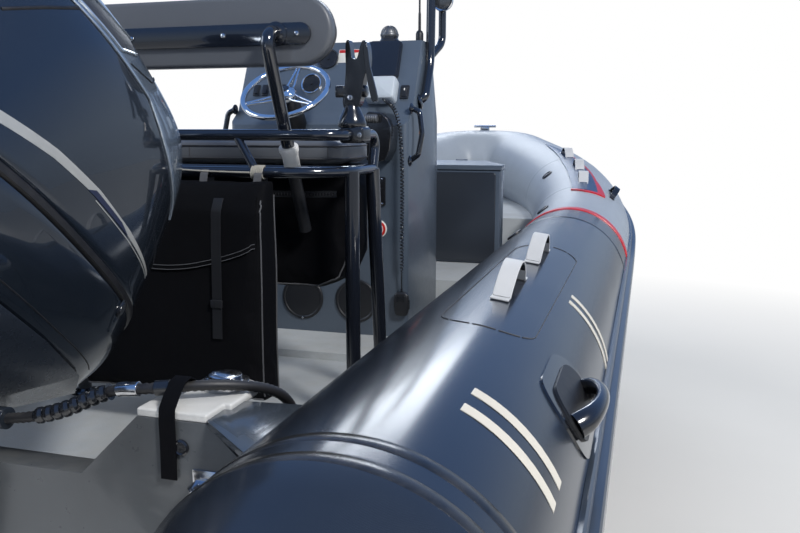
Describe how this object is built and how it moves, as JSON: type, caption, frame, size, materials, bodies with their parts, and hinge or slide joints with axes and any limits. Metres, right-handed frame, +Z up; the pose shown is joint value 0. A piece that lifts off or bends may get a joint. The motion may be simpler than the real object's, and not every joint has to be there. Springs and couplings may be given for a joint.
{
  "type": "inflatable rib boat on a trailer",
  "caption": "Rigid hull inflatable boat with centre console, leaning post and tilted outboard engine, on its road trailer.",
  "frame": {"origin": "centre of the object's plan at ground level", "axes": "+X to starboard, +Y to the bow, +Z up"},
  "size_m": [2.5396, 7.9627, 3.14],
  "materials": {
    "hull_laminate": "satin",
    "deck_laminate": "satin",
    "console_laminate": "satin",
    "tube_black": "satin",
    "tube_grey": "satin",
    "band_red": "satin",
    "strake_rubber": "satin",
    "webbing": "matte",
    "cover_fabric": "matte",
    "seat_vinyl": "satin",
    "moulding_black": "matte",
    "moulding_pale": "satin",
    "gusset_dark": "gloss",
    "frame_black": "gloss",
    "stainless": "polished",
    "instrument_black": "gloss",
    "lamp_chrome": "polished",
    "cord_black": "matte",
    "engine_grey": "metallic",
    "engine_silver": "metallic",
    "bracket_dark": "satin",
    "propeller_steel": "polished",
    "galvanised": "galvanised",
    "bunk_carpet": "matte",
    "roller_rubber": "matte",
    "fender_steel": "galvanised",
    "lamp_red": "gloss",
    "tyre_rubber": "matte",
    "rim_steel": "silver"
  },
  "bodies": {
    "boat_and_trailer": {"hull": "hull_laminate", "transom": "hull_laminate", "transom_trim": "moulding_pale", "stern_gussets": "gusset_dark", "metal_fittings": "stainless", "cockpit_deck": "deck_laminate", "forward_platform": "deck_laminate", "bow_deck": "deck_laminate", "bow_locker": "console_laminate", "bow_locker_panel": "moulding_black", "tube_starboard": "tube_black", "tube_port": "tube_black", "bow_tube": "tube_grey", "rub_strakes": "strake_rubber", "red_bands": "band_red", "grab_straps": "webbing", "lift_handles": "moulding_black", "console": "console_laminate", "dash_instruments": "instrument_black", "compass": "instrument_black", "console_fittings": "moulding_black", "control_box": "moulding_black", "console_rails": "frame_black", "mast_light": "lamp_chrome", "whip_antenna": "moulding_pale", "seat_frame": "frame_black", "seat_cushion": "seat_vinyl", "backrest": "seat_vinyl", "stowage_bag": "cover_fabric", "seat_bag": "cover_fabric", "rod_holder": "moulding_black", "mic_cord": "cord_black", "microphone": "moulding_black", "rigging_hose": "cord_black", "clamp_bracket": "bracket_dark", "bunks": "bunk_carpet", "keel_rollers": "roller_rubber", "trailer_frame": "galvanised", "coupler": "galvanised", "trailer_axle": "galvanised", "fenders": "fender_steel", "trailer_lamps": "lamp_red", "winch_post": "galvanised", "jack": "galvanised"},
    "bow_hatch": {"bow_hatch_lid": "deck_laminate"},
    "locker_top": {"locker_lid": "console_laminate"},
    "helm_wheel": {"steering_wheel": "stainless"},
    "swivel": {"swivel_bracket": "bracket_dark"},
    "outboard": {"engine_cowl": "engine_grey", "engine_trim": "engine_silver", "engine_leg": "engine_grey", "gearcase": "engine_grey"},
    "screw": {"propeller": "propeller_steel"},
    "ram_barrel": {"tilt_barrel": "stainless"},
    "ram_rod": {"tilt_rod": "stainless"},
    "wheel_port": {"tyre_port": "tyre_rubber", "rim_port": "rim_steel"},
    "wheel_starboard": {"tyre_starboard": "tyre_rubber", "rim_starboard": "rim_steel"}
  },
  "joints": [
    {"name": "outboard_tilt", "type": "hinge", "parent": "boat_and_trailer", "child": "swivel", "pos_m": [0, -2.86, 1.275], "axis": [-1, 0, 0], "range_deg": [-42, 0]},
    {"name": "outboard_steer", "type": "hinge", "parent": "swivel", "child": "outboard", "pos_m": [0, -2.98633, 1.38875], "axis": [0, 0.6691, 0.7431], "range_deg": [-30, 30]},
    {"name": "propeller_spin", "type": "hinge", "parent": "outboard", "child": "screw", "pos_m": [0, -3.90553, 0.94477], "axis": [0, -0.7431, 0.6691], "continuous": true},
    {"name": "steering_wheel_turn", "type": "hinge", "parent": "boat_and_trailer", "child": "helm_wheel", "pos_m": [-0.088, -0.93, 1.93], "axis": [0, -0.6018, 0.7986], "range_deg": [-720, 720]},
    {"name": "tilt_barrel_swing", "type": "hinge", "parent": "boat_and_trailer", "child": "ram_barrel", "pos_m": [0, -2.915, 0.905], "axis": [1, 0, 0], "range_deg": [-10.5, 0]},
    {"name": "tilt_rod_slide", "type": "slide", "parent": "ram_barrel", "child": "ram_rod", "axis": [0, -0.2617, 0.9652], "range_m": [-0.095, 0]},
    {"name": "wheel_port_spin", "type": "hinge", "parent": "boat_and_trailer", "child": "wheel_port", "pos_m": [-1.055, -1, 0.32], "axis": [1, 0, 0], "continuous": true},
    {"name": "wheel_starboard_spin", "type": "hinge", "parent": "boat_and_trailer", "child": "wheel_starboard", "pos_m": [1.055, -1, 0.32], "axis": [1, 0, 0], "continuous": true},
    {"name": "bow_hatch_open", "type": "hinge", "parent": "boat_and_trailer", "child": "bow_hatch", "pos_m": [0, 1.64, 1.2683], "axis": [-1, 0, 0], "range_deg": [0, 95]},
    {"name": "locker_lid_open", "type": "hinge", "parent": "boat_and_trailer", "child": "locker_top", "pos_m": [0, 0.766, 1.598], "axis": [-1, 0, 0], "range_deg": [0, 85]}
  ],
  "couplings": [
    {"joint": "steering_wheel_turn", "follows": "outboard_steer", "ratio": -24},
    {"joint": "tilt_barrel_swing", "follows": "outboard_tilt", "ratio": 0.24774},
    {"joint": "tilt_rod_slide", "follows": "outboard_tilt", "m_per_rad": 0.12881}
  ]
}
